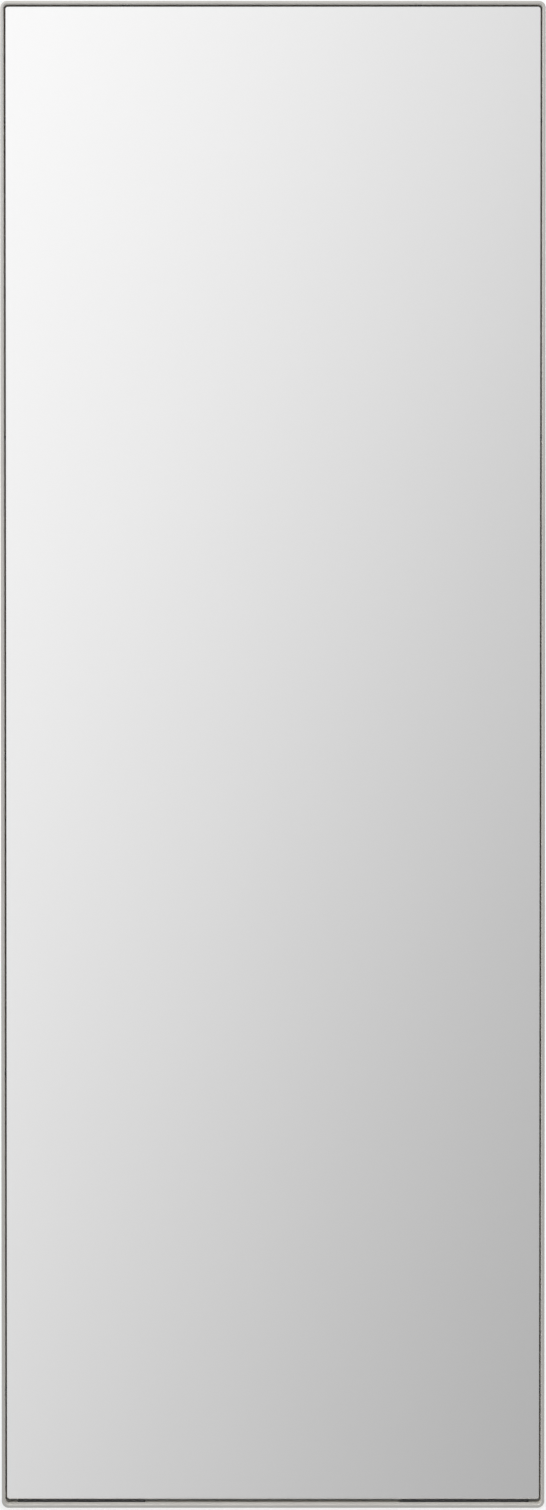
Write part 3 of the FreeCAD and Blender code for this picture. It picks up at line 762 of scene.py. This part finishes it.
zinc = bright_zinc()
screw_profile = [(0, SHEET - SCREW_LENGTH), (SCREW_RADIUS, SCREW_TIP - SCREW_LENGTH + SHEET),
                 (SCREW_RADIUS, 0), (HEAD_RADIUS - HEAD_UNDERSIDE, 0), (HEAD_RADIUS, HEAD_UNDERSIDE)]
screw_profile += arc((HEAD_RADIUS - HEAD_ROUND, HEAD_HEIGHT - HEAD_ROUND), HEAD_ROUND, 0, 90)
screw_shape = turned(screw_profile)
sink_cross(screw_shape)
screw = smooth(add("screw", made("screw", screw_shape)), sharp_degrees=35)
dress(screw, zinc)


def set_out(name, master, places, material, seed):
    """One piece with a copy of the master at every place, each turned by chance about its own axis."""
    sizes = {"Piece": master, "Turn": math.tau, "Seed": seed}
    tree, size = plan(f"{name}_set_out", **sizes)
    one = size["Piece"].node("GeometryNodeObjectInfo", {}, {"Object": size["Piece"]}, "Geometry")
    widest = one.node("ShaderNodeCombineXYZ", {}, {"Y": size["Turn"]})
    chance = {"Max": widest, "Seed": size["Seed"]}
    driven = one.node("FunctionNodeRandomValue", {"data_type": "FLOAT_VECTOR"}, chance)
    copies = one.node("GeometryNodeInstanceOnPoints", {},
                      {"Points": size["Geometry"], "Instance": one, "Rotation": driven})
    end(tree, copies, material)
    points = bpy.data.meshes.new(f"{name}_places")
    points.from_pydata(places, [], [])
    return grow(name, tree, sizes, points)


seat = board_rear + SHEET
tab_places = []
for node in TAB_NAMES:
    edge, inward, along_bar = lie(node)
    place = edge + inward * TAB_SCREW_OFFSET
    tab_places.append((place.x, seat, place.z))
tab_screws = set_out("tab_screws_zinc", screw, tab_places, zinc, SCREW_SEED)
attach(tab_screws, "mirror")
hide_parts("tab_screws")


# Hangers: four straps of zinc-plated sheet, each rolled into an eye and held to the board by two screws, and
# in each eye a D-ring bent from round wire. One pair sits upright near the top, one lies along a long side.
STRAP_EDGE = 0.15 * MM
STRAP_SCREWS = (8.5 * MM, 30.0 * MM)
RING_SIZES = {"Wire": 1.5 * MM, "Bow": 11.5 * MM, "Bend": 3.0 * MM, "Leg": 6.0 * MM, "Bow steps": 32,
              "Wire sides": 24, "Eye": (0.0, 0.0, 0.0), "Facing": (0.0, 0.0, 0.0)}
HANGERS = ("upright_left", "upright_right", "sideways_upper", "sideways_lower")
ring_plan, size = plan("d_ring", **RING_SIZES)
ring_drop = size["Bend"] + size["Leg"] + size["Bow"]
loop = size["Bow"].node("GeometryNodeCurvePrimitiveQuadrilateral", {},
                        {"Width": size["Bow"] * 2.0, "Height": ring_drop})
upper = loop.node("GeometryNodeInputPosition", {}, {}).axis("Y").maths("GREATER_THAN", 0.0)
loop = loop.node("GeometryNodeFilletCurve", {"mode": "POLY"},
                 {"Curve": loop, "Radius": size["Bow"] + (size["Bend"] - size["Bow"]) * upper,
                  "Count": size["Bow steps"], "Limit Radius": True})
wire = loop.node("GeometryNodeCurvePrimitiveCircle", {},
                 {"Resolution": size["Wire sides"], "Radius": size["Wire"]})
ring = loop.node("GeometryNodeCurveToMesh", {}, {"Curve": loop, "Profile Curve": wire})
ring = ring.node("GeometryNodeMergeByDistance", {}, {"Geometry": ring, "Distance": SAME_POINT})
drop = ring.node("ShaderNodeCombineXYZ", {}, {"Y": ring_drop * -0.5})
ring = ring.node("GeometryNodeTransform", {}, {"Geometry": ring, "Translation": drop})
ring = ring.node("GeometryNodeTransform", {}, {"Geometry": ring, "Translation": size["Eye"],
                                               "Rotation": size["Facing"]})
end(ring_plan, ring, zinc)
joints = {joint["name"]: joint for joint in frame["joints"]}
hanger_places = []
for name in HANGERS:
    strap = eased(f"hanger_strap_{name}_zinc", f"hanger_strap_{name}", STRAP_EDGE)
    dress(strap, zinc)
    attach(strap, "mirror")
    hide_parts(f"hanger_strap_{name}")
    eye = Vector(joints[f"ring_{name}_swing"]["pos_m"])
    sideways = name.startswith("sideways")
    facing = (math.radians(90), math.radians(90) if sideways else 0.0, 0.0)
    sizes = dict(RING_SIZES, Eye=tuple(eye), Facing=facing)
    d_ring = smooth(grow(f"d_ring_{name}_zinc", ring_plan, sizes), sharp_degrees=60)
    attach(d_ring, f"ring_{name}")
    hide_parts(f"d_ring_{name}")
    strap_way = Vector((-1, 0, 0) if sideways else (0, 0, -1))
    for offset in STRAP_SCREWS:
        place = eye + strap_way * offset
        hanger_places.append((place.x, seat, place.z))
hanger_screws = set_out("hanger_screws_zinc", screw, hanger_places, zinc, SCREW_SEED + 1)
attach(hanger_screws, "mirror")
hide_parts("hanger_screws")


# Wall bumpers: moulded rubber feet in the four corners of the board, slightly tapered, each with a bore that
# sinks the head of its screw. They stand a little behind the bar and touch the wall.
BUMPER_RADIUS = 8.5 * MM
BUMPER_TAPER = 1.0 * MM
BUMPER_ROUND = 0.8 * MM
BUMPER_FOOT = 0.3 * MM
BUMPER_BORE = 4.1 * MM
BUMPER_HOLE = 2.0 * MM
BUMPER_SEED = 3
BUMPERS = [f"wall_bumper_{end_name}_{side}" for end_name in ("lower", "upper") for side in ("left", "right")]
bumper_low, bumper_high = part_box(BUMPERS[0])
bumper_height = bumper_high.y - bumper_low.y
bumper_tip = BUMPER_RADIUS - BUMPER_TAPER
bumper_slope = math.degrees(math.atan2(BUMPER_TAPER, bumper_height))
bumper_profile = [(BUMPER_HOLE, 0), (BUMPER_RADIUS - BUMPER_FOOT, 0), (BUMPER_RADIUS, BUMPER_FOOT)]
bumper_profile += arc((bumper_tip - BUMPER_ROUND, bumper_height - BUMPER_ROUND), BUMPER_ROUND,
                      bumper_slope, 90)
bumper_profile += [(BUMPER_BORE + BUMPER_FOOT, bumper_height), (BUMPER_BORE, bumper_height - BUMPER_FOOT),
                   (BUMPER_BORE, SHEET), (BUMPER_HOLE, SHEET)]
bumper = smooth(add("bumper", made("bumper", turned(bumper_profile, closed=True))), sharp_degrees=35)
dress(bumper, rubber)
bumper_places = []
for node in BUMPERS:
    low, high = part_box(node)
    bumper_places.append(((low.x + high.x) / 2, low.y, (low.z + high.z) / 2))
bumper_set = set_out("wall_bumpers_rubber", bumper, bumper_places, rubber, BUMPER_SEED)
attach(bumper_set, "mirror")
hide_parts(*BUMPERS)
bumper_screw_places = [(x, seat, z) for x, y, z in bumper_places]
bumper_screws = set_out("bumper_screws_zinc", screw, bumper_screw_places, zinc, SCREW_SEED + 2)
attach(bumper_screws, "mirror")
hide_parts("bumper_screws")
for master in (screw, bumper):
    bpy.data.objects.remove(master)


# Floor: a plain pale studio floor under the bottom edge of the frame, which fades into white. It keeps the
# mirror's shadow, and reflections pass through it to the studio's surround.
FLOOR_RADIUS = 7.0
FLOOR_STEPS = 96
FLOOR_DROP = 0.2 * MM
FLOOR_FADE = (1.6, 5.0)
FLOOR_LIFT = 0.6
FLOOR_CLOUD = 0.33
FLOOR_PALE = (0.86, 0.86, 0.855, 1)
FLOOR_DEEP = (0.82, 0.82, 0.815, 1)
WHITE = (1, 1, 1, 1)


def on_path(place, kind):
    """1 for light on a path of a kind, and 0 for the rest."""
    return place.node("ShaderNodeLightPath", {}, {}, f"Is {kind} Ray")


def reflected(place):
    """1 for light that metal or glass has sent on, and 0 for the rest."""
    return on_path(place, "Glossy").maths("MAXIMUM", on_path(place, "Transmission"))


floor_shape = bmesh.new()
bmesh.ops.create_circle(floor_shape, cap_ends=True, segments=FLOOR_STEPS, radius=FLOOR_RADIUS)
floor_mesh = made("studio_floor", floor_shape)
floor_mesh.transform(Matrix.Translation((0, 0, cad_box[0].z - FLOOR_DROP)))
floor = add("studio_floor", floor_mesh)
material, shader, place = finish("pale_floor")
connect(shader, {"Base Color": place.noise(FLOOR_CLOUD, 5.0).blend(FLOOR_DEEP, FLOOR_PALE), "Roughness": 0.9,
                 "Specular IOR Level": 0.1})
distance = place.node("ShaderNodeVectorMath", {"operation": "LENGTH"}, {0: place}, "Value")
hidden = reflected(place).maths("MAXIMUM", distance.step(*FLOOR_FADE))
clear = place.node("ShaderNodeBsdfTransparent", {}, {})
white = place.node("ShaderNodeEmission", {}, {"Color": WHITE, "Strength": 1.0})
lifted = on_path(place, "Camera") * FLOOR_LIFT
pale = place.node("ShaderNodeMixShader", {}, {0: lifted, 1: Wire(shader.outputs["BSDF"]), 2: white})
surface = place.node("ShaderNodeMixShader", {}, {0: hidden, 1: pale, 2: clear})
connect(material.node_tree.nodes["Material Output"], {"Surface": surface})
floor_mesh.materials.append(material)


# Studio: a surround of soft grey panels, the one in front brighter to its upper left, and two softboxes, each
# given by its place, side and power in watts. Only reflections show the panels: the backdrop is white.
AMBIENT = 0.86
SURROUND_LOW = 0.64
SURROUND_HIGH = 0.92
SURROUND_RISE = (-0.55, 0.45)
GLOW_DIRECTION = (-0.918, 0.0, 0.397)
GLOW_MIDDLE = 0.713
GLOW_REACH = 0.464
GLOW_OFFSET = 0.052
GLOW_WIDTH = 0.234
GLOW_LIMIT = 1.0
FRONT_EDGE = (0.87, 0.945)
PANEL_TURNS = 4 * math.pi
PANEL_START = 1.66
PANEL_REACH = 0.12
world = bpy.data.worlds.new("studio")
world.use_nodes = True
bpy.context.scene.world = world
direction = Wire(world.node_tree.nodes.new("ShaderNodeTexCoord").outputs["Generated"])
lean = direction.node("ShaderNodeVectorMath", {"operation": "DOT_PRODUCT"},
                      {0: direction, 1: GLOW_DIRECTION}, "Value")
glow = GLOW_MIDDLE + ((lean + GLOW_OFFSET) / GLOW_WIDTH).maths("TANH") * GLOW_REACH
glow = glow.maths("MINIMUM", GLOW_LIMIT)
in_front = (0 - direction.axis("Y")).step(*FRONT_EDGE)
panels = (lean * PANEL_TURNS + PANEL_START).maths("SINE") * PANEL_REACH
around = SURROUND_LOW + direction.axis("Z").step(*SURROUND_RISE) * (SURROUND_HIGH - SURROUND_LOW) + panels
studio = around + (glow - around) * in_front
level = AMBIENT + (studio - AMBIENT) * reflected(direction)
grey = level.node("ShaderNodeCombineColor", {}, {"Red": level, "Green": level, "Blue": level})
backdrop = on_path(direction, "Camera").blend(grey, WHITE)
connect(world.node_tree.nodes["Background"], {"Color": backdrop, "Strength": 1.0})

LAMPS = {"key_softbox": ((-2.1, -2.7, 2.4), 2.2, 50.0), "rear_softbox": ((2.6, 2.3, 1.6), 2.0, 48.0)}
for name, (stand, side, power) in LAMPS.items():
    lamp = bpy.data.lights.new(name, "AREA")
    lamp.size = side
    lamp.energy = power
    softbox = bpy.data.objects.new(name, lamp)
    softbox.location = stand
    softbox.rotation_euler = (-Vector(stand)).to_track_quat("-Z", "Y").to_euler()
    bpy.context.scene.collection.objects.link(softbox)


# Camera: square on, a little above the middle and tilted down slightly, so that the sides stay almost
# upright. The view is shifted down to the mirror, whose rim fills the picture from the top to the bottom row.
PICTURE_HEIGHT = 1510
TOP_ROW = 0.8
BOTTOM_ROW = 1507.9
CAMERA_AWAY = 3.37
CAMERA_HEIGHT = 0.38
CAMERA_TILT = math.radians(0.8)
SENSOR = 36.0
camera_data = bpy.data.cameras.new("camera")
camera = bpy.data.objects.new("camera", camera_data)
bpy.context.scene.collection.objects.link(camera)
bpy.context.scene.camera = camera
camera.location = (0, band_low.y - CAMERA_AWAY, CAMERA_HEIGHT)
camera.rotation_euler = (math.radians(90) - CAMERA_TILT, 0, 0)


def image_height(z):
    """Where a point of the front rim lands above the camera's axis, for a focal length of 1."""
    rise = z - CAMERA_HEIGHT
    depth = CAMERA_AWAY * math.cos(CAMERA_TILT) - rise * math.sin(CAMERA_TILT)
    return (rise * math.cos(CAMERA_TILT) + CAMERA_AWAY * math.sin(CAMERA_TILT)) / depth


top, bottom = image_height(band_high.z), image_height(band_low.z)
view_height = (top - bottom) * PICTURE_HEIGHT / (BOTTOM_ROW - TOP_ROW)
camera_data.sensor_width = SENSOR
camera_data.lens = SENSOR / view_height
camera_data.shift_y = (top + bottom) / 2 / view_height + (TOP_ROW + BOTTOM_ROW) / 2 / PICTURE_HEIGHT - 0.5
bpy.context.scene.view_settings.view_transform = "Standard"
